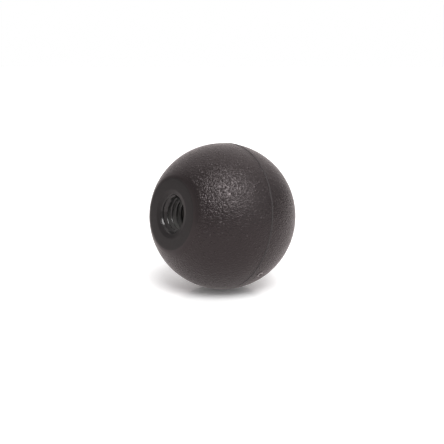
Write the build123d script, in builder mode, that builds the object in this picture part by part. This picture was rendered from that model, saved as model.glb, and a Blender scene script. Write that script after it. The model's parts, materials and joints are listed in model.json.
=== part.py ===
from build123d import *
import math
import os

# Ball knob: one plastic moulding, a ball with a flat seat face and a blind threaded bore.
# Millimetres. The origin is the centre of the seat face. The bore runs along +Y from there
# and its mouth faces -Y, so the knob lies on its side with +Z up.

# The ball and the flat seat cut off it, measured to the sharp corner between them
ball_diameter = 40.0
seat_diameter = 19.5
seat_edge_radius = 2.5

# The M10 thread, drawn at its root: the wall that is left when the thread is not shown
thread_diameter = 10.0
thread_end_depth = 18.0
core_tip_angle = 120.0

# The plain entry ahead of the thread and the shallow countersink round the mouth
entry_clearance = 0.2
entry_depth = 0.4
entry_lead_angle = 45.0
countersink_width = 1.2
countersink_depth = 0.3

# The raised witness line where the two halves of the mould met
witness_width = 0.45
witness_height = 0.12

# The mark of the gate that the plastic flowed in through, on the half away from the seat
gate_behind_parting = 3.0
gate_angle = -42.0
gate_pit_diameter = 1.1
gate_pit_floor_diameter = 0.5
gate_pit_depth = 0.5
gate_lip_width = 0.55
gate_lip_height = 0.25
gate_crest_width = 0.08

# Sizes that follow from those above
ball_radius = ball_diameter / 2
seat_radius = seat_diameter / 2
ball_centre_depth = math.sqrt(ball_radius**2 - seat_radius**2)
thread_radius = thread_diameter / 2
entry_radius = thread_radius + entry_clearance
mouth_radius = entry_radius + countersink_width
thread_start_depth = entry_depth + entry_clearance / math.tan(math.radians(entry_lead_angle))
bore_depth = thread_end_depth + thread_radius / math.tan(math.radians(core_tip_angle / 2))

# Angles at the ball's centre: half of the witness line, the seat's corner, and the arc between
witness_half_angle = math.degrees(math.asin(witness_width / 2 / ball_radius))
seat_corner_angle = math.degrees(math.acos(seat_radius / ball_radius))
front_arc_angle = seat_corner_angle - witness_half_angle
back_arc_angle = 90 - witness_half_angle

# Across a profile X is the distance from the bore's axis and Y is the depth behind the seat
with BuildPart() as ball_knob:
    # The ball, with its flat and its witness line, turned about the bore's axis
    with BuildSketch(Plane.XY) as ball_profile:
        with BuildLine():
            centre = (0, ball_centre_depth)
            seat_line = Line((0, 0), (seat_radius, 0))
            front_arc = CenterArc(centre, ball_radius, -seat_corner_angle, front_arc_angle)
            back_arc = CenterArc(centre, ball_radius, witness_half_angle, back_arc_angle)
            Polyline(front_arc @ 1, (ball_radius + witness_height, ball_centre_depth), back_arc @ 0)
            Line(back_arc @ 1, seat_line @ 0)
        make_face()
        # The seat runs over into the ball on a soft radius
        seat_corner = ball_profile.vertices().group_by(Axis.Y)[0].sort_by(Axis.X)[-1]
        fillet(seat_corner, radius=seat_edge_radius)
    revolve(axis=Axis.Y)

    # The bore, as the core pin that shaped it: countersink, plain entry, thread and pointed tip
    with BuildSketch(Plane.XY) as core_profile:
        with BuildLine():
            Polyline(
                (0, 0),
                (mouth_radius, 0),
                (entry_radius, countersink_depth),
                (entry_radius, entry_depth),
                (thread_radius, thread_start_depth),
                (thread_radius, thread_end_depth),
                (0, bore_depth),
                close=True,
            )
        make_face()
    revolve(axis=Axis.Y, mode=Mode.SUBTRACT)

    # The gate mark stands square to the ball: a lip drawn up round the pit where the runner tore off
    gate_latitude = math.asin(gate_behind_parting / ball_radius)
    gate_turn = math.radians(gate_angle)
    gate_direction = Vector(
        math.cos(gate_latitude) * math.cos(gate_turn),
        math.sin(gate_latitude),
        math.cos(gate_latitude) * math.sin(gate_turn),
    )
    gate_plane = Plane(
        origin=Vector(0, ball_centre_depth, 0) + gate_direction * ball_radius,
        z_dir=gate_direction,
    )
    gate_crest_radius = gate_pit_diameter / 2 + gate_crest_width
    gate_foot_radius = gate_pit_diameter / 2 + gate_lip_width
    with Locations(gate_plane):
        # The lip runs as deep below the ball's skin as it stands above it
        Cone(
            bottom_radius=2 * gate_foot_radius - gate_crest_radius,
            top_radius=gate_crest_radius,
            height=2 * gate_lip_height,
        )
    with Locations(gate_plane.offset(gate_lip_height)):
        Cone(
            bottom_radius=gate_pit_floor_diameter / 2,
            top_radius=gate_pit_diameter / 2,
            height=gate_pit_depth,
            align=(Align.CENTER, Align.CENTER, Align.MAX),
            mode=Mode.SUBTRACT,
        )

ball_knob.part.label = "ball_knob"

os.makedirs("parts", exist_ok=True)
export_step(ball_knob.part, "parts/ball_knob.step")
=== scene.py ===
# %% [markdown]
# # A moulded ball knob
#
# This notebook dresses one small machine part: a black plastic ball that is screwed on the end of a
# lever. The model of it comes from CAD, at its real size, and is loaded here as a fixed frame. Blender
# adds what the solid doesn't have: the turns of the thread, the grain of the skin, and the light.
#
# All lengths are in metres. The seat face is centred on the origin, the bore runs along +Y from it,
# and its mouth faces -Y.

# %% Load the fixed frame
import json
import math

import bmesh
import bpy
from mathutils import Matrix, Vector, noise


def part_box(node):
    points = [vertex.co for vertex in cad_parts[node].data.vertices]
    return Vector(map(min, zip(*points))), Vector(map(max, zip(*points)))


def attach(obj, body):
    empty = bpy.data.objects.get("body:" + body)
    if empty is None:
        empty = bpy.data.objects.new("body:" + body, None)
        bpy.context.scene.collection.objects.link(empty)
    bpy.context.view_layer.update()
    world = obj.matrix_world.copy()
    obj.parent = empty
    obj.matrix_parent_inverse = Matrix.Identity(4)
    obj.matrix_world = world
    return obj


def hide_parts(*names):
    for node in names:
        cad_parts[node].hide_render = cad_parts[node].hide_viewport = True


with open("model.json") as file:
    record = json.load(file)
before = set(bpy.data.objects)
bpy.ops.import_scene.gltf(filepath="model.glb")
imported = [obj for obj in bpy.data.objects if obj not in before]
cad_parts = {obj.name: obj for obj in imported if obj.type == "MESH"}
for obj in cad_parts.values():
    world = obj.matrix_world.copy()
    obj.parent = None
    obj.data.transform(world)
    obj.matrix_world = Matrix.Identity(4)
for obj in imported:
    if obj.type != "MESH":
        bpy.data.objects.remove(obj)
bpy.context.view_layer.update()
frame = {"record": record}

# %% [markdown]
# ## Sizes from the frame
#
# A dressed part should never drift from the part that it dresses. So the main sizes are measured on
# the loaded frame: the box round the ball gives the radius and the centre, and the mount that the
# record states gives the thread. Only the small sizes that neither can tell are written out again.

# %% Measure the ball, the seat and the bore
MM = 0.001
FULL_TURN = 2 * math.pi
NODE = "ball_knob"

witness_height = 0.12 * MM
witness_width = 0.45 * MM
seat_edge_radius = 2.5 * MM

# The high corner of the node's box is as far out as the witness line and as deep as the crown
ball_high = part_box(NODE)[1]
ball_radius = ball_high.x - witness_height
crown_depth = ball_high.y
ball_centre_depth = crown_depth - ball_radius
ball_centre = Vector((0, ball_centre_depth, 0))
seat_radius = math.sqrt(ball_radius**2 - ball_centre_depth**2)

thread_mount = next(mount for mount in frame["record"]["mounts"] if mount["name"] == "thread_bore")
thread_radius = thread_mount["dims"]["r_mm"] * MM
thread_length = thread_mount["dims"]["length_mm"] * MM
print("ball radius", round(ball_radius / MM, 3), "mm, seat radius", round(seat_radius / MM, 3), "mm")
print("thread radius", round(thread_radius / MM, 3), "mm, length", round(thread_length / MM, 3), "mm")

# %% Name the small sizes of the mouth and the bore
entry_clearance = 0.2 * MM
entry_depth = 0.4 * MM
countersink_width = 1.2 * MM
countersink_depth = 0.3 * MM
core_tip_half_angle = math.radians(60)

entry_radius = thread_radius + entry_clearance
mouth_radius = entry_radius + countersink_width

# A cone of 45 degrees leads from the plain entry to the thread, so it is as deep as it is wide
thread_start_depth = entry_depth + entry_clearance
thread_end_depth = thread_start_depth + thread_length
bore_depth = thread_end_depth + thread_radius / math.tan(core_tip_half_angle)
print("thread to", round(thread_end_depth / MM, 2), "mm, bore to", round(bore_depth / MM, 2), "mm deep")

# %% [markdown]
# ## The line of the profile
#
# The knob came out of a mould whose cavity was turned, so nearly every surface of it is a profile
# spun about the bore's axis. In Blender that could be a Screw modifier or the spin operator. Here a
# loop makes the rings itself, because the next steps need to know which ring is which, to leave room
# for the thread and to cut a finer patch for the gate mark.
#
# Each point of the profile is a pair: the distance from the axis, and the depth behind the seat. The
# ball runs over into the seat on a soft radius. That circle lies inside the ball and touches it, so the
# two centres are as far apart as the two radii differ. It touches the seat too, so its centre is its
# own radius deep. Those two facts place it.

# %% Find where the seat's radius meets the ball
centres_apart = ball_radius - seat_edge_radius
corner_centre_depth = seat_edge_radius
corner_centre_reach = math.sqrt(centres_apart**2 - (ball_centre_depth - corner_centre_depth) ** 2)
corner_start_angle = math.pi / 2 + math.asin((ball_centre_depth - corner_centre_depth) / centres_apart)
print("the seat's radius begins", round(math.degrees(corner_start_angle), 1), "degrees from the crown")


# %% Follow the ball from the crown to the seat
def on_ball(angle_from_crown):
    """A point of the ball's skin, by its angle at the centre from the crown."""
    return (
        ball_radius * math.sin(angle_from_crown),
        ball_centre_depth + ball_radius * math.cos(angle_from_crown),
    )


def steps(first, last, count):
    """Evenly spaced values from first to last, both of them included."""
    return [first + (last - first) * i / count for i in range(count + 1)]


RING_SPACING = math.radians(1.25)
MIDDLE = math.pi / 2
witness_half_angle = math.asin(witness_width / 2 / ball_radius)

crown_first = 2 * RING_SPACING
back_count = round((MIDDLE - crown_first) / RING_SPACING)
front_count = round((corner_start_angle - MIDDLE) / RING_SPACING)
back_skin = [on_ball(a) for a in steps(crown_first, MIDDLE - witness_half_angle, back_count)]
front_skin = [on_ball(a) for a in steps(MIDDLE + witness_half_angle, corner_start_angle, front_count)]
print("rings on the ball:", len(back_skin) + len(front_skin))

# %% [markdown]
# ### Small radii catch the light
#
# A corner in plastic is never sharp, and its small radius is what draws the thin bright line round a
# face. So each corner that shows gets one. The soft corner of the seat is wide enough to be seen as a
# form, and is a true arc. The corners of the mouth are a tenth of a millimetre or less, and for so
# small a turn a quadratic curve through the corner point is close enough to an arc. A Bevel modifier
# could round them too, but it would also take the gable of the witness line.

# %% Turn the seat's corner as an arc
CORNER_STEPS = 10
corner_angles = steps(corner_start_angle, math.pi, CORNER_STEPS)[1:]
seat_corner = [
    (
        corner_centre_reach + seat_edge_radius * math.sin(angle),
        corner_centre_depth + seat_edge_radius * math.cos(angle),
    )
    for angle in corner_angles
]
print("points on the seat's corner:", len(seat_corner))


# %% Round the small corners of the mouth
def rounded(before, corner, after, reach, count=4):
    """Points of a small curve round a corner, that leaves each side at the given reach from it."""
    corner = Vector(corner)
    start = corner + (Vector(before) - corner).normalized() * reach
    end = corner + (Vector(after) - corner).normalized() * reach
    points = []
    for t in steps(0, 1, count):
        points.append(tuple(start * (1 - t) ** 2 + corner * 2 * t * (1 - t) + end * t**2))
    return points


mouth_break = 0.12 * MM
entry_break = 0.06 * MM

seat_middle = ((corner_centre_reach + mouth_radius) / 2, 0)
mouth_point = (mouth_radius, 0)
entry_point = (entry_radius, countersink_depth)
entry_end = (entry_radius, entry_depth)
lead_start = (thread_radius, thread_start_depth)
mouth_corner = rounded(seat_middle, mouth_point, entry_point, mouth_break)
entry_corner = rounded(mouth_point, entry_point, entry_end, entry_break)
print("points on the mouth's corners:", len(mouth_corner) + len(entry_corner))

# %% [markdown]
# ### The witness line
#
# Where the two halves of the mould closed, a hair of plastic was squeezed into the joint. It stands
# as a low ridge round the middle of the ball, nearer a gable than a step. It is full on top and fades
# towards the bottom, as if the halves had closed tighter there, and its height wavers a little, as
# squeezed plastic does. One ring of the profile is its crest, and a wobble on that ring alone makes
# all of this.

# %% Say how high the witness line stands
WITNESS_LOW_SIDE = 0.80
WITNESS_DRIFT = 0.12
WITNESS_MOST_SHORT = 0.85
DRIFT_WAVES = 3
DRIFT_SLICE = 0.4


def witness_wobble(turn):
    """How far the witness line falls short of its full height, at a place round the ball."""
    place = (DRIFT_WAVES * math.cos(turn), DRIFT_WAVES * math.sin(turn), DRIFT_SLICE)
    drift = noise.noise(Vector(place))
    low_side = (1 - math.sin(turn)) / 2
    short_by = WITNESS_LOW_SIDE * low_side + WITNESS_DRIFT * drift
    return witness_height * min(WITNESS_MOST_SHORT, max(0, short_by))


for name, turn in (("top", math.pi / 2), ("side", 0.0), ("bottom", -math.pi / 2)):
    height = witness_height - witness_wobble(turn)
    print("witness line at the", name, round(height / MM, 3), "mm high")

# %% [markdown]
# ### From a profile to a skin
#
# Each point of the profile becomes a ring of vertices, and each pair of rings is joined by squares.
# The crown is a pole, where a ring would shrink to a point, so a fan of triangles closes it.

# %% Spin the outer profile into rings
SEGMENTS = 240


def ring_vertices(mesh, distance, depth, wobble=None):
    """One ring of vertices about the bore's axis."""
    made = []
    for i in range(SEGMENTS):
        turn = FULL_TURN * i / SEGMENTS
        reach = distance if wobble is None else distance - wobble(turn)
        made.append(mesh.verts.new((reach * math.cos(turn), depth, reach * math.sin(turn))))
    return made


def join_rings(mesh, first, second):
    """Quads between two rings of the same length."""
    for i in range(SEGMENTS):
        k = (i + 1) % SEGMENTS
        mesh.faces.new((first[i], first[k], second[k], second[i]))


witness_ring = (ball_radius + witness_height, ball_centre_depth)
witness_index = len(back_skin)
outer_profile = back_skin + [witness_ring] + front_skin + seat_corner
outer_profile += [seat_middle] + mouth_corner + entry_corner + [entry_end, lead_start]

knob_mesh = bmesh.new()
rings = []
for index, (distance, depth) in enumerate(outer_profile):
    wobble = witness_wobble if index == witness_index else None
    rings.append(ring_vertices(knob_mesh, distance, depth, wobble))
for first, second in zip(rings, rings[1:]):
    join_rings(knob_mesh, first, second)

crown = knob_mesh.verts.new((0, crown_depth, 0))
for i in range(SEGMENTS):
    knob_mesh.faces.new((crown, rings[0][(i + 1) % SEGMENTS], rings[0][i]))
print("outer skin:", len(knob_mesh.faces), "faces")

# %% [markdown]
# ## The thread
#
# A thread can be faked with a stack of rings, but then its turns don't climb, and at the mouth they
# end in a closed ring that no screw could enter. A true thread is one groove that winds. The trick is
# to shear the grid: each step round the bore also goes a step down it, so that after a full turn the
# columns meet those of the next turn. The crests then lie along the grid's own lines and stay crisp.
#
# Plastic doesn't fill a sharp corner, so the crests are rounded. A long cone at the mouth cuts the
# first turn short, as a screw needs to find its way in, and the ridge fades out where the pin ended.

# %% Describe one turn of the thread
PITCH = 1.5 * MM
THREAD_DEPTH = 0.812 * MM
LEAD_SLOPE = 0.65
FADE_LENGTH = 1.2 * MM
THREAD_START_TURN = math.radians(47)

# Each pair is a place in one pitch and how much of the ridge stands there, from the root to the crest
FLANK = [
    (0.0, 0.0), (0.05, 0.0), (0.08, 0.05), (0.11, 0.14), (0.27, 0.68), (0.31, 0.80), (0.36, 0.905),
    (0.43, 0.98), (0.50, 1.0),
]
# The other flank mirrors it, down to the root of the next turn
RIDGE = FLANK + [(round(1 - place, 3), share) for place, share in reversed(FLANK[:-1])]
PLACES = [place for place, share in RIDGE[:-1]]


def ridge_share(place):
    """How much of the ridge stands at a place in the pitch, from 0 to 1."""
    place %= 1.0
    (a, low), (b, high) = next(pair for pair in zip(RIDGE, RIDGE[1:]) if place <= pair[1][0])
    return low + (high - low) * (place - a) / (b - a)


def thread_wall(turn, depth):
    """The distance from the axis to the threaded wall."""
    place = (depth - thread_start_depth) / PITCH - (turn - THREAD_START_TURN) / FULL_TURN
    ridge = THREAD_DEPTH * ridge_share(place)
    lead = (depth - thread_start_depth) * LEAD_SLOPE
    fade = (thread_end_depth - depth) / FADE_LENGTH * THREAD_DEPTH
    return thread_radius - max(0.0, min(ridge, lead, fade))


print("thread: pitch", round(PITCH / MM, 2), "mm,", len(PLACES), "columns to a turn")

# %% Lay the sheared grid down the bore
# One turn more at each end, so that the slanting ends of the grid leave no gap
SPARE_TURNS = 2
turns = math.ceil(thread_length / PITCH) + SPARE_TURNS


def thread_depth_at(i, turn_number, place):
    """The depth of a grid point, pulled back to the thread's ends where it would pass them."""
    around = i / SEGMENTS - THREAD_START_TURN / FULL_TURN
    raw = thread_start_depth + PITCH * (turn_number - 1 + place + around)
    return min(max(raw, thread_start_depth), thread_end_depth)


columns = [(number, place) for number in range(turns) for place in PLACES]
grid = []
for i in range(SEGMENTS):
    turn = FULL_TURN * i / SEGMENTS
    column = []
    for number, place in columns:
        depth = thread_depth_at(i, number, place)
        wall = thread_wall(turn, depth)
        column.append(knob_mesh.verts.new((wall * math.cos(turn), depth, wall * math.sin(turn))))
    grid.append(column)
print("thread grid:", len(grid), "by", len(columns), "points")

# %% Fill the grid with squares
# The last column meets the first one a whole turn further down
per_turn = len(PLACES)
NO_DEPTH = 1e-9
for i in range(SEGMENTS):
    last = i == SEGMENTS - 1
    shift = per_turn if last else 0
    beside = grid[0] if last else grid[i + 1]
    for j in range(len(columns) - 1 - shift):
        corners = (grid[i][j], beside[j + shift], beside[j + shift + 1], grid[i][j + 1])
        depths = [corner.co.y for corner in corners]
        # Squares that were pulled back to an end have no depth left
        if max(depths) - min(depths) > NO_DEPTH:
            knob_mesh.faces.new(corners)
print("thread:", turns, "turns of", per_turn, "columns")

# %% [markdown]
# The sheared grid overshoots both ends of the bore, and there its points were all pulled back to the
# end's own depth. Merging by distance melts those points into one clean ring at each end, which is
# also the ring that the mouth and the tip are joined to.

# %% Close the bore with the point of the core pin
TIP_SHARES = (0.0, 0.35, 0.7)
tip_rings = []
for share in TIP_SHARES:
    distance = thread_radius * (1 - share)
    depth = thread_end_depth + (bore_depth - thread_end_depth) * share
    tip_rings.append(ring_vertices(knob_mesh, distance, depth))
for first, second in zip(tip_rings, tip_rings[1:]):
    join_rings(knob_mesh, first, second)
bore_tip = knob_mesh.verts.new((0, bore_depth, 0))
for i in range(SEGMENTS):
    knob_mesh.faces.new((tip_rings[-1][i], tip_rings[-1][(i + 1) % SEGMENTS], bore_tip))
print("tip:", len(tip_rings), "rings and a point")

# %% Melt the doubled points together
MERGE_DISTANCE = 0.0004 * MM
bmesh.ops.remove_doubles(knob_mesh, verts=knob_mesh.verts, dist=MERGE_DISTANCE)
bmesh.ops.dissolve_degenerate(knob_mesh, edges=knob_mesh.edges, dist=MERGE_DISTANCE)
open_edges = [edge for edge in knob_mesh.edges if not edge.is_manifold]
print("edges left open:", len(open_edges), "of", len(knob_mesh.edges))

# %% [markdown]
# ## The gate mark
#
# The plastic flowed in through a thin tunnel that was torn off when the mould opened. It left a pit
# with a lip drawn up round it. A boolean with two small cones could cut this, but it leaves long thin
# triangles, and they would show as creases in the skin. The pit is about a millimetre wide, smaller
# than three squares of the grid, so the grid is first cut finer there and nowhere else. Then each point
# near the gate is pushed along the gate's own direction by a height that depends on how far from the
# gate's axis it is. A little noise on that distance makes the torn edge ragged.

# %% Find the gate's place on the ball
gate_behind_parting = 3.0 * MM
gate_turn = math.radians(-42.0)
gate_latitude = math.asin(gate_behind_parting / ball_radius)
gate_direction = Vector((
    math.cos(gate_latitude) * math.cos(gate_turn),
    math.sin(gate_latitude),
    math.cos(gate_latitude) * math.sin(gate_turn),
))
gate_place = ball_centre + gate_direction * ball_radius
print("the gate is at", [round(v / MM, 2) for v in gate_place], "mm")

# %% Cut the skin finer round the gate
patch_radius = 1.6 * MM
PATCH_CUTS = 7
patch_faces = [f for f in knob_mesh.faces if (f.calc_center_median() - gate_place).length < patch_radius]
patch_edges = {edge for face in patch_faces for edge in face.edges}
bmesh.ops.subdivide_edges(knob_mesh, edges=list(patch_edges), cuts=PATCH_CUTS, use_grid_fill=True)
print("patch:", len(patch_faces), "squares cut finer")

# %% Draw the gate mark as a height
pit_radius = 0.55 * MM
pit_floor_radius = 0.25 * MM
pit_depth = 0.5 * MM
lip_height = 0.25 * MM
lip_crest_width = 0.08 * MM
lip_width = 0.55 * MM
lip_crest_radius = pit_radius + lip_crest_width
gate_foot = pit_radius + lip_width
LIP_SWEEP = 1.4
PIT_SWEEP = 0.8


def gate_height(distance):
    """The height of the gate mark over the ball's skin, at a distance from the gate's axis."""
    if distance >= gate_foot:
        return 0.0
    if distance >= lip_crest_radius:
        rise = (gate_foot - distance) / (gate_foot - lip_crest_radius)
        return lip_height * rise**LIP_SWEEP
    if distance >= pit_radius:
        return lip_height
    fall = min(1, (pit_radius - distance) / (pit_radius - pit_floor_radius))
    return lip_height - pit_depth * fall**PIT_SWEEP


print("the pit's floor lies", round(-gate_height(0.0) / MM, 2), "mm under the skin")

# %% Raise the lip and sink the pit
TEAR_SCALE = 1 / (0.45 * MM)
TEAR_DEPTH = 0.35
near_gate = 2 * patch_radius
reshaped_radius = 1.4 * patch_radius
moved = 0
for vertex in knob_mesh.verts:
    offset = vertex.co - gate_place
    if offset.length > near_gate:
        continue
    from_axis = (offset - gate_direction * offset.dot(gate_direction)).length
    if from_axis > reshaped_radius:
        continue
    away = vertex.co - ball_centre
    # The witness line runs past the gate and keeps its own height
    if abs(away.y) < witness_width:
        continue
    # Back onto the true ball first, because the cuts left the new points on flat squares
    skin = ball_centre + away.normalized() * ball_radius
    torn = 1 + TEAR_DEPTH * noise.noise(offset * TEAR_SCALE)
    vertex.co = skin + gate_direction * gate_height(from_axis * torn)
    moved += 1
knob_mesh.normal_update()
print("points of the gate mark:", moved)

# %% [markdown]
# ## One object, five finishes
#
# The whole knob is one moulding and so it is one mesh. It still has five finishes, because five things
# shaped its skin: the spark-eroded cavity, the smooth plate behind the seat, the polished core pin, the
# joint of the mould that squeezed out the witness line, and the tear at the gate. Five objects would
# show seams where they meet. So each face of the one mesh is given the number of its finish here, by
# where it lies.

# %% Sort the faces into finishes
GRAIN, SMOOTH, THREAD, WITNESS, TORN = range(5)
SEAT_LIMIT = 0.04 * MM
SLACK = 0.01 * MM


def finish_at(middle):
    """The number of the finish at the middle of a face."""
    from_axis = math.hypot(middle.x, middle.z)
    if from_axis < entry_radius + SLACK and middle.y < bore_depth + SLACK:
        return THREAD
    if middle.y < SEAT_LIMIT or (from_axis < mouth_radius and middle.y < entry_depth):
        return SMOOTH
    if abs(middle.y - ball_centre_depth) < witness_width / 2:
        return WITNESS
    if (middle - gate_place).length < gate_foot:
        return TORN
    return GRAIN


for face in knob_mesh.faces:
    face.material_index = finish_at(face.calc_center_median())
    face.smooth = True
for number, name in ((GRAIN, "grained"), (SMOOTH, "smooth"), (TORN, "torn")):
    print(name, "faces:", sum(face.material_index == number for face in knob_mesh.faces))

# %% Turn the mesh into an object
SHARP_ANGLE = math.radians(18)
bmesh.ops.recalc_face_normals(knob_mesh, faces=knob_mesh.faces)
knob_data = bpy.data.meshes.new("moulded_knob")
knob_mesh.to_mesh(knob_data)
knob_mesh.free()
knob_data.set_sharp_from_angle(angle=SHARP_ANGLE)
knob = bpy.data.objects.new("moulded_knob", knob_data)
bpy.context.scene.collection.objects.link(knob)
knob_data.calc_loop_triangles()
print("moulded knob:", len(knob_data.loop_triangles), "triangles")

# %% [markdown]
# ## Shader maths as plain Python
#
# A finish is a small program on each point of the surface. Blender writes it as a web of nodes, which
# is hard to read as a script. The class below wraps one output of a node, so that `a * 0.5 + b` adds
# the Math nodes itself. Every other node comes from its one method, which takes the node's type, its
# settings and what goes into its sockets.

# %% Wrap a node's output
class Wire:
    """One output socket of a node. Arithmetic on it adds Math nodes to the same tree."""

    def __init__(self, tree, socket=None):
        self.tree = tree
        self.socket = socket

    def node(self, kind, settings=None, sockets=None, output=0):
        """Adds a node, with its settings first, and returns one of its outputs."""
        made = self.tree.nodes.new(kind)
        for name, value in (settings or {}).items():
            setattr(made, name, value)
        for name, value in (sockets or {}).items():
            if isinstance(value, Wire):
                self.tree.links.new(value.socket, made.inputs[name])
            else:
                made.inputs[name].default_value = value
        return Wire(self.tree, made.outputs[output] if len(made.outputs) else None)

    def sibling(self, output):
        """Another output of the node that this one comes from."""
        return Wire(self.tree, self.socket.node.outputs[output])

    def math(self, operation, first, second):
        """Adds a Math node on two numbers or wires."""
        return self.node("ShaderNodeMath", {"operation": operation}, {0: first, 1: second})

    def __add__(self, other):
        return self.math("ADD", self, other)

    def __radd__(self, other):
        return self.math("ADD", other, self)

    def __sub__(self, other):
        return self.math("SUBTRACT", self, other)

    def __rsub__(self, other):
        return self.math("SUBTRACT", other, self)

    def __mul__(self, other):
        return self.math("MULTIPLY", self, other)

    def __rmul__(self, other):
        return self.math("MULTIPLY", other, self)

    def __pow__(self, other):
        return self.math("POWER", self, other)

    def __rpow__(self, other):
        return self.math("POWER", other, self)


# %% [markdown]
# A few helpers save most of the repeating. One starts a material. One mixes two colours by a Mix node,
# because a Math node would turn them grey: that node has a set of sockets for each kind of value, and
# those for colours are numbers 6 and 7, with output 2. One is a soft step from 0 to 1. The last two
# give a place on the knob and its depth behind the seat, which keep a pattern fixed to the plastic.

# %% Add helpers for materials, colours, soft steps and places
def new_material(name):
    """A material with an empty node tree, and a Wire to start from."""
    material = bpy.data.materials.new(name)
    material.use_nodes = True
    material.node_tree.nodes.clear()
    return material, Wire(material.node_tree)


def mix_colours(wire, mask, first, second):
    """The first colour where the mask is 0 and the second where it is 1."""
    return wire.node("ShaderNodeMix", {"data_type": "RGBA"}, {0: mask, 6: first, 7: second}, output=2)


def soft_step(value, low, high):
    """0 up to the low end, 1 from the high end on, and an even slope with soft ends between them."""
    sockets = {"Value": value, "From Min": low, "From Max": high}
    return value.node("ShaderNodeMapRange", {"interpolation_type": "SMOOTHSTEP"}, sockets)


def place_on_knob(wire):
    """The place of a point, in the knob's own axes."""
    return wire.node("ShaderNodeTexCoord", output="Object")


def depth_behind_seat(place):
    """How far behind the seat a place on the knob lies."""
    return place.node("ShaderNodeSeparateXYZ", sockets={"Vector": place}, output="Y")


# %% [markdown]
# All five finishes are the same plastic, a solid body with a clear gloss over it. They differ in
# colour, gloss and relief. So one helper ends each of them with Blender's Principled shader. What is
# the same all over a face is set on the shader's own sockets. Only the colour, the roughness and the
# relief come from nodes.

# %% Add the shader that all the plastics share
PLASTIC_IOR = 1.5


def finish_plastic(wire, colour, roughness, gloss, tint, bump=None):
    """Ends a finish with the plastic's shader and its output."""
    sockets = {
        "Base Color": colour,
        "Roughness": roughness,
        "IOR": PLASTIC_IOR,
        "Specular IOR Level": gloss,
        "Specular Tint": tint,
    }
    if bump is not None:
        sockets["Normal"] = bump
    shader = wire.node("ShaderNodeBsdfPrincipled", sockets=sockets)
    wire.node("ShaderNodeOutputMaterial", sockets={"Surface": shader})


# %% [markdown]
# ## The grained skin
#
# The cavity was eaten out by sparks, which leaves small round craters packed edge to edge. The
# plastic copies them. Seen from a step away they are what breaks the highlight into glittering
# points, so they need relief and not a mottled colour. Cut into the mesh, craters a third of a
# millimetre wide would take millions of triangles. A Bump node gives the same glitter by tilting the
# shading alone.
#
# A Voronoi texture packs round cells in just this way, and a noise makes some of them deep and some
# shallow, as sparks differ.
#
# The grain begins a little behind the seat, because the cavity's edge was polished to meet the plate.
# The black itself is a little warm, and so is its gloss.

# %% Choose the blacks and the size of the grain
PLASTIC = (0.0118, 0.0096, 0.0099, 1)
PLASTIC_PALE = (0.0150, 0.0122, 0.0126, 1)
WARM_GLOSS = (1.0, 0.89, 0.90, 1)
GLOSS_LEVEL = 0.52

GRAIN_SIZE = 0.33 * MM
GRAIN_RELIEF = 0.092 * MM
GRAIN_BEGINS = 0.35 * MM
GRAIN_FULL = 1.3 * MM
print("grained skin: craters of", round(GRAIN_SIZE / MM, 2), "mm")

# %% Dig the craters
CRATER_SOFTNESS = 0.4
DEPTH_SCALE = 0.7
DEPTH_CONTRAST = 2.0
NOISE_MEAN = 0.5

grained, wire = new_material("grained_plastic")
place = place_on_knob(wire)
craters = wire.node(
    "ShaderNodeTexVoronoi",
    {"feature": "SMOOTH_F1"},
    {"Vector": place, "Scale": 1 / GRAIN_SIZE, "Smoothness": CRATER_SOFTNESS},
)
depths = wire.node(
    "ShaderNodeTexNoise",
    sockets={"Vector": place, "Scale": DEPTH_SCALE / GRAIN_SIZE, "Detail": 1.0},
)
grained_here = soft_step(depth_behind_seat(place), GRAIN_BEGINS, GRAIN_FULL)
# Over its own mean the noise is about 1, so it makes craters deeper here and shallower there
relief = craters * (depths * (1 / NOISE_MEAN)) ** DEPTH_CONTRAST * grained_here
grain_bump = wire.node(
    "ShaderNodeBump",
    sockets={"Height": relief, "Strength": 1.0, "Distance": GRAIN_RELIEF},
)
print("the grain is full", round(GRAIN_FULL / MM, 2), "mm behind the seat")

# %% Make the grained plastic
CLOUD_SIZE = 6 * MM
POLISHED_RING_ROUGHNESS = 0.30
GRAIN_IS_GLOSSIER = 0.13
RIDGES_ARE_DULLER = 0.08

clouds = wire.node(
    "ShaderNodeTexNoise",
    sockets={"Vector": place, "Scale": 1 / CLOUD_SIZE, "Detail": 2.0, "Roughness": 0.5},
)
grain_colour = mix_colours(wire, clouds, PLASTIC, PLASTIC_PALE)
grain_roughness = POLISHED_RING_ROUGHNESS - grained_here * GRAIN_IS_GLOSSIER + relief * RIDGES_ARE_DULLER
finish_plastic(wire, grain_colour, grain_roughness, GLOSS_LEVEL, WARM_GLOSS, grain_bump)
print("made", grained.name)

# %% [markdown]
# ## The smooth seat, the thread and the witness line
#
# The seat was shaped by a ground plate and the thread by a polished pin. The witness line was only
# squeezed between two edges of steel, so it came out dull. Its colour is painted pale, partly for the
# dull squeezed plastic and partly as a painted highlight for the light that its ridge catches at the
# side. On top of the ball, where the glossy skin mirrors the bright room, the dull line reads dark. At
# the side there is little to mirror, and the painted pale shows as a light line. None of the three has
# grain. A trace of unevenness in the gloss, from a slow noise, keeps them from looking like glass.
#
# Deep in the bore and in the roots of its thread the colour is painted paler. This is painted light,
# which lifts the shade that would leave the bore black. It grows with the depth and with the distance
# from the bore's axis, so the crests keep more of the black. The thread's own shade is painted a little
# paler than the skin's black as well.

# %% Paint light deep in the bore and in the roots of the thread
# Painted light: a pale colour laid deep in the bore, strongest in the roots of the thread
PAINTED_BORE_LIGHT = (0.30, 0.29, 0.28, 1)
PAINTED_LIGHT_BEGINS = 1.0 * MM
PAINTED_LIGHT_FULL = 6.0 * MM
PAINTED_LIGHT_ON_CRESTS = 0.30


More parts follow.
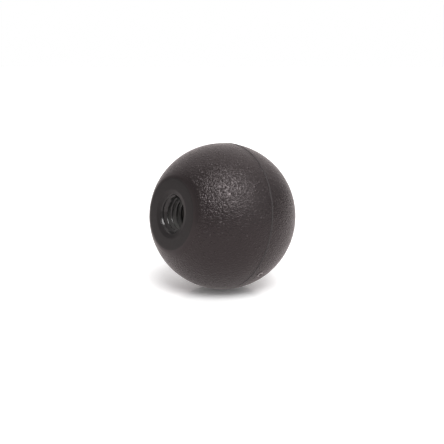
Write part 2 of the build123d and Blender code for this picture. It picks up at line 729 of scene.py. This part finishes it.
def with_painted_bore_light(colour, place, amount):
    """A colour with painted light over it, which grows deep in the bore and in the roots of its thread.
    """
    # Without its Y, the length of a place is its distance from the bore's axis
    across = place.node("ShaderNodeVectorMath", {"operation": "MULTIPLY"}, {0: place, 1: (1, 0, 1)})
    from_axis = place.node("ShaderNodeVectorMath", {"operation": "LENGTH"}, {0: across}, output="Value")
    in_roots = place.node(
        "ShaderNodeMapRange",
        sockets={
            "Value": from_axis,
            "From Min": thread_radius - THREAD_DEPTH,
            "From Max": thread_radius,
            "To Min": PAINTED_LIGHT_ON_CRESTS,
            "To Max": 1.0,
        },
    )
    deep = soft_step(depth_behind_seat(place), PAINTED_LIGHT_BEGINS, PAINTED_LIGHT_FULL)
    return mix_colours(place, deep * in_roots * amount, colour, PAINTED_BORE_LIGHT)


print("dust from", round(PAINTED_LIGHT_BEGINS / MM, 1), "to", round(PAINTED_LIGHT_FULL / MM, 1), "mm down the bore")

# %% Make the smooth finishes
SMOOTH_GLOSS = (1.0, 0.98, 0.98, 1)
UNEVEN_RELIEF = 0.01 * MM
UNEVEN_STRENGTH = 0.4


def smooth_plastic(name, shade, gloss, roughness, unevenness, patch, painted_light=0.0):
    """Plastic with no grain, whose gloss drifts a little from patch to patch."""
    material, wire = new_material(name)
    place = place_on_knob(wire)
    drift = wire.node(
        "ShaderNodeTexNoise",
        sockets={"Vector": place, "Scale": 1 / patch, "Detail": 3.0, "Roughness": 0.6},
    )
    bump = wire.node(
        "ShaderNodeBump",
        sockets={"Height": drift, "Strength": UNEVEN_STRENGTH, "Distance": UNEVEN_RELIEF},
    )
    colour = mix_colours(wire, drift, shade, PLASTIC)
    if painted_light:
        colour = with_painted_bore_light(colour, place, painted_light)
    uneven_roughness = roughness + (drift - NOISE_MEAN) * unevenness
    finish_plastic(wire, colour, uneven_roughness, gloss, SMOOTH_GLOSS, bump)
    return material


seat_plastic = smooth_plastic(
    "smooth_seat_plastic",
    shade=(0.0137, 0.0132, 0.0134, 1),
    gloss=0.37,
    roughness=0.40,
    unevenness=0.12,
    patch=1.6 * MM,
)
# The thread's shade is painted paler than the skin's black, and painted light is laid deep in its bore
thread_plastic = smooth_plastic(
    "polished_thread_plastic",
    shade=(0.03, 0.030, 0.030, 1),
    gloss=0.50,
    roughness=0.14,
    unevenness=0.08,
    patch=0.9 * MM,
    painted_light=0.9,
)
# The witness line's shade is painted pale: partly the dull squeezed plastic, partly a painted highlight
# for the light its ridge catches at the side
painted_pale_witness_plastic = smooth_plastic(
    "pressed_witness_plastic",
    shade=(0.105, 0.096, 0.097, 1),
    gloss=0.04,
    roughness=0.40,
    unevenness=0.06,
    patch=0.6 * MM,
)
print("made", seat_plastic.name, thread_plastic.name, painted_pale_witness_plastic.name)

# %% [markdown]
# ## The torn gate
#
# Where the plastic was pulled until it broke, it stretched and turned pale, as a bent piece of black
# plastic does. The crest of the lip is painted pale for that, and also as a painted highlight for the
# light that the crest catches. The pit stays dark. The distance from the gate's own place tells the
# shader where the crest is.

# %% Make the torn plastic
# Painted pale on the lip's crest: stretched plastic and a painted highlight together
STRETCHED_PALE_AND_HIGHLIGHT = (0.30, 0.27, 0.27, 1)
PALE_FROM = 0.85 * pit_radius
PALE_FULL = 1.15 * pit_radius
FADES_FROM = pit_radius + 0.3 * lip_width
TORN_ROUGHNESS = 0.25
STRETCHED_IS_DULLER = 0.2
TORN_GLOSS = 0.6

torn_plastic, wire = new_material("torn_gate_plastic")
from_gate = wire.node(
    "ShaderNodeVectorMath",
    {"operation": "DISTANCE"},
    {0: place_on_knob(wire), 1: gate_place},
    output="Value",
)
past_crest = soft_step(from_gate, FADES_FROM, gate_foot)
pale_and_highlight_here = soft_step(from_gate, PALE_FROM, PALE_FULL) * (1 - past_crest)
torn_colour = mix_colours(wire, pale_and_highlight_here, PLASTIC, STRETCHED_PALE_AND_HIGHLIGHT)
torn_roughness = TORN_ROUGHNESS + pale_and_highlight_here * STRETCHED_IS_DULLER
finish_plastic(wire, torn_colour, torn_roughness, TORN_GLOSS, WARM_GLOSS)
print("made", torn_plastic.name)

# %% Give the knob its finishes
# The order is that of the numbers GRAIN, SMOOTH, THREAD, WITNESS and TORN
for finish in (grained, seat_plastic, thread_plastic, painted_pale_witness_plastic, torn_plastic):
    knob_data.materials.append(finish)
for number, finish in enumerate(knob_data.materials):
    print("finish", number, finish.name)

# %% [markdown]
# ## Stand in for the CAD node
#
# The mesh made above has the CAD node's own form with the thread wound into its bore. It takes that
# node's place in the picture, and the node stays behind for the physics.

# %% Tie the knob to the frame
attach(knob, "root")
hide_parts(NODE)

# %% [markdown]
# ## The camera, from angles read off the photograph
#
# Three angles say how the knob lies in the picture: how far the bore's axis is turned from the line
# of sight, how much it rises towards the left, and how high the camera stands over the floor. The
# first two fix the object in the camera's own axes. The third gives the floor. From these the
# camera's axes are worked out in the frame of the part, which never moves.

# %% Work out the view
bore_from_sight = math.radians(50.2)
bore_rise = math.radians(2.0)
camera_over_floor = math.radians(12.0)

# In the camera's axes: X to the right, Y up and Z towards the viewer
mouth_seen = Vector((
    -math.sin(bore_from_sight) * math.cos(bore_rise),
    math.sin(bore_from_sight) * math.sin(bore_rise),
    math.cos(bore_from_sight),
))
floor_up_seen = Vector((0, math.cos(camera_over_floor), math.sin(camera_over_floor)))
depth_seen = -mouth_seen
up_seen = (floor_up_seen - mouth_seen * floor_up_seen.dot(mouth_seen)).normalized()
side_seen = depth_seen.cross(up_seen)

# The rows are the part's own axes, so this turns a direction seen in the picture into one of the part
seen_to_part = Matrix((side_seen, depth_seen, up_seen))
picture_right = seen_to_part @ Vector((1, 0, 0))
picture_up = seen_to_part @ Vector((0, 1, 0))
to_viewer = seen_to_part @ Vector((0, 0, 1))
floor_up = seen_to_part @ floor_up_seen
print("towards the viewer:", [round(v, 3) for v in to_viewer])
print("the floor tilts", round(math.degrees(floor_up.angle(Vector((0, 0, 1)))), 1), "degrees")

# %% [markdown]
# The apparent size gives the lens. The ball's radius covers a known number of pixels, and its
# distance shows in how the round seat narrows, so the focal length follows.

# %% Set the camera up
PICTURE_WIDTH_PX = 444
BALL_RADIUS_PX = 73.2
BALL_MIDDLE_PX = (222.4, 216.15)
DISTANCE_IN_RADII = 11.0
SENSOR_WIDTH_MM = 36.0
NEAREST_SEEN = 0.01
FURTHEST_SEEN = 20

focal_px = BALL_RADIUS_PX * math.sqrt(DISTANCE_IN_RADII**2 - 1)
camera_data = bpy.data.cameras.new("camera")
camera_data.sensor_width = SENSOR_WIDTH_MM
camera_data.lens = SENSOR_WIDTH_MM * focal_px / PICTURE_WIDTH_PX
camera_data.clip_start = NEAREST_SEEN
camera_data.clip_end = FURTHEST_SEEN
camera = bpy.data.objects.new("camera", camera_data)
bpy.context.scene.collection.objects.link(camera)
bpy.context.scene.camera = camera
print("lens", round(camera_data.lens, 1), "mm")

# %% Put the camera in its place
# It looks along its own axis, and steps aside until the ball sits where the photograph has it
metres_per_px = DISTANCE_IN_RADII * ball_radius / focal_px
off_right = (BALL_MIDDLE_PX[0] - PICTURE_WIDTH_PX / 2) * metres_per_px
off_up = (PICTURE_WIDTH_PX / 2 - BALL_MIDDLE_PX[1]) * metres_per_px
camera_rotation = Matrix((picture_right, picture_up, to_viewer)).transposed()
camera_place = ball_centre + to_viewer * DISTANCE_IN_RADII * ball_radius
camera_place -= picture_right * off_right + picture_up * off_up
camera.matrix_world = Matrix.Translation(camera_place) @ camera_rotation.to_4x4()
print("camera", round((camera_place - ball_centre).length / MM), "mm from the ball")

# %% [markdown]
# ## The floor
#
# The knob lies on its round side, so the floor is the plane that touches the ball under the bore's
# level. It is a white matt sheet with a faint sheen. Where the ball touches it the sheen mirrors black
# plastic, which gives the small dark wedge there.
#
# A Light Path node tells a shader what kind of ray is asking. To the camera the paint is lifted to the
# white of a studio's paper and still takes the knob's shadow. A mirrored ray, which is how the black
# gloss sees the floor, finds it dimmer and with a glow of its own, so that the knob's underside isn't
# black where its shadow lies. It finds it a little warm too: the tint on the plastic's own gloss works
# only head on, and the plastic is warm at every slant. The light that the floor throws back on the
# knob is that of the plain paint.

# %% Spread the floor under the ball
FLOOR_SIZE = 6.0
half = FLOOR_SIZE / 2
floor_touch = ball_centre - floor_up * ball_radius
floor_away = floor_up.cross(picture_right)
floor_corners = [
    floor_touch + picture_right * x + floor_away * y
    for x, y in ((-half, -half), (half, -half), (half, half), (-half, half))
]
floor_data = bpy.data.meshes.new("floor")
floor_data.from_pydata(floor_corners, [], [(0, 1, 2, 3)])
floor = bpy.data.objects.new("floor", floor_data)
bpy.context.scene.collection.objects.link(floor)
print("floor touches the ball at", [round(v / MM, 2) for v in floor_touch], "mm")


# %% Tell the camera's rays from mirrored ones
def kinds_of_ray(wire):
    """Two masks: 1 for what the camera sees itself, and 1 for what it sees mirrored or through glass."""
    camera_ray = wire.node("ShaderNodeLightPath", output="Is Camera Ray")
    mirrored_ray = camera_ray.sibling("Is Glossy Ray") + camera_ray.sibling("Is Transmission Ray")
    return camera_ray, mirrored_ray


WHITE = (1, 1, 1, 1)
WARM_MIRRORED = (1.0, 0.91, 0.905, 1)
floor_paint, wire = new_material("white_floor")
camera_ray, mirrored_ray = kinds_of_ray(wire)
floor_tint = mix_colours(wire, mirrored_ray, WHITE, WARM_MIRRORED)
print("mirrored rays are tinted", WARM_MIRRORED[:3])

# %% Paint the floor
FLOOR_PAINT = 0.80
FLOOR_AS_SEEN = 1.16
FLOOR_IN_REFLECTIONS = 0.50
GLOW_AS_SEEN = 0.05
GLOW_IN_REFLECTIONS = 0.37
FLOOR_SHEEN = 0.19
SHEEN_ROUGHNESS = 0.16

floor_shade = camera_ray * (FLOOR_AS_SEEN - FLOOR_PAINT) + FLOOR_PAINT
floor_shade = mirrored_ray * (FLOOR_IN_REFLECTIONS - FLOOR_PAINT) + floor_shade
floor_colour = wire.node(
    "ShaderNodeVectorMath",
    {"operation": "SCALE"},
    {0: floor_tint, "Scale": floor_shade},
)
floor_glow = camera_ray * GLOW_AS_SEEN + mirrored_ray * GLOW_IN_REFLECTIONS
matt = wire.node("ShaderNodeBsdfDiffuse", sockets={"Color": floor_colour})
glow = wire.node("ShaderNodeEmission", sockets={"Color": floor_tint, "Strength": floor_glow})
painted = wire.node("ShaderNodeAddShader", sockets={0: matt, 1: glow})
sheen = wire.node(
    "ShaderNodeBsdfGlossy",
    sockets={"Color": camera_ray * FLOOR_SHEEN, "Roughness": SHEEN_ROUGHNESS},
)
floor_surface = wire.node("ShaderNodeAddShader", sockets={0: painted, 1: sheen})
wire.node("ShaderNodeOutputMaterial", sockets={"Surface": floor_surface})
floor_data.materials.append(floor_paint)
print("made", floor_paint.name)

# %% [markdown]
# ## The light of the studio
#
# Black plastic shows its shape by what it reflects, so the room matters as much as the lamps. The room
# is dim, and soft panels hang in it: the brightest over and behind the knob, which gives the bright
# rim on top, and a narrow one at the left. A minus sign makes a panel a dark flag, and the one at the
# right keeps the rim there from growing too bright. A picture of a studio could light the knob as
# well, but these few patches, each one dot product, say what each light is for.
#
# To the camera the whole room is white, and to mirrored rays the wall straight behind the knob is.
# Both come through Light Path, so that they add no light to the plastic's own colour.

# %% Hang the panels of the room
ROOM_DIM = 0.28
BACKDROP_EDGES = (0.79, 0.94)
STRAIGHT_BEHIND = (0, 0, -1)

# Each panel: the direction towards it as seen in the picture, where it begins and is full, its light
PANELS = {
    "ceiling_behind": ((0.03, 0.84, -0.54), 0.42, 0.94, 0.52),
    "top_right": ((0.5, 0.85, -0.1), 0.50, 0.95, 0.16),
    "left_strip": ((-0.93, 0.05, 0.36), 0.82, 0.96, 0.30),
    "right_flag": ((0.75, 0.0, -0.66), 0.70, 0.98, -0.14),
    "front": ((0.2, 0.3, 0.93), 0.30, 0.95, 0.05),
    "left_behind": ((-0.8, 0.3, -0.5), 0.30, 0.95, -0.03),
}

world = bpy.data.worlds.new("white_room")
bpy.context.scene.world = world
world.use_nodes = True
world.node_tree.nodes.clear()
wire = Wire(world.node_tree)
direction = wire.node("ShaderNodeTexCoord", output="Generated")


def glow_towards(towards, begins, full):
    """A soft round patch of the room: 1 in its middle and 0 where it ends."""
    nearness = wire.node(
        "ShaderNodeVectorMath",
        {"operation": "DOT_PRODUCT"},
        {0: direction, 1: (seen_to_part @ Vector(towards)).normalized()},
        output="Value",
    )
    return soft_step(nearness, begins, full)


room_light = ROOM_DIM
for towards, begins, full, strength in PANELS.values():
    room_light = glow_towards(towards, begins, full) * strength + room_light
print("panels:", ", ".join(PANELS))

# %% Show the room
camera_ray, mirrored_ray = kinds_of_ray(wire)
seen_white = camera_ray + mirrored_ray * glow_towards(STRAIGHT_BEHIND, *BACKDROP_EDGES)
shown_light = room_light + seen_white * (1 - room_light)
shown_colour = mix_colours(wire, mirrored_ray, WHITE, WARM_MIRRORED)
background = wire.node("ShaderNodeBackground", sockets={"Color": shown_colour, "Strength": shown_light})
wire.node("ShaderNodeOutputWorld", sockets={"Surface": background})
print("made", world.name)

# %% [markdown]
# Two wide, soft suns stand for the big lamps. The light of a sun doesn't weaken with distance, so the
# white floor stays even right to the horizon. The key lamp hangs high in front and gives the grain its
# glitter, and a much weaker one at the right opens the shadow.

# %% Hang the lamps
# Each lamp: the direction towards it as seen in the picture, its strength, its width in degrees
LAMPS = {
    "key_lamp": ((0.115, 0.66, 0.74), 2.05, 33),
    "right_lamp": ((0.61, 0.45, 0.65), 0.65, 60),
}


def soft_sun(name, towards, strength, spread_degrees):
    """A very wide sun. Its place is given by the direction towards it, as seen in the picture."""
    data = bpy.data.lights.new(name, "SUN")
    data.energy = strength
    data.angle = math.radians(spread_degrees)
    lamp = bpy.data.objects.new(name, data)
    bpy.context.scene.collection.objects.link(lamp)
    aim = seen_to_part @ Vector(towards).normalized()
    lamp.rotation_mode = "QUATERNION"
    lamp.rotation_quaternion = aim.to_track_quat("Z", "Y")


for name, (towards, strength, spread_degrees) in LAMPS.items():
    soft_sun(name, towards, strength, spread_degrees)
print("lamps:", ", ".join(LAMPS))

# %% [markdown]
# ## Finish
#
# The colours are shown as they are written, so the view transform is the plain one.

# %% Set the plain view transform
bpy.context.scene.view_settings.view_transform = "Standard"
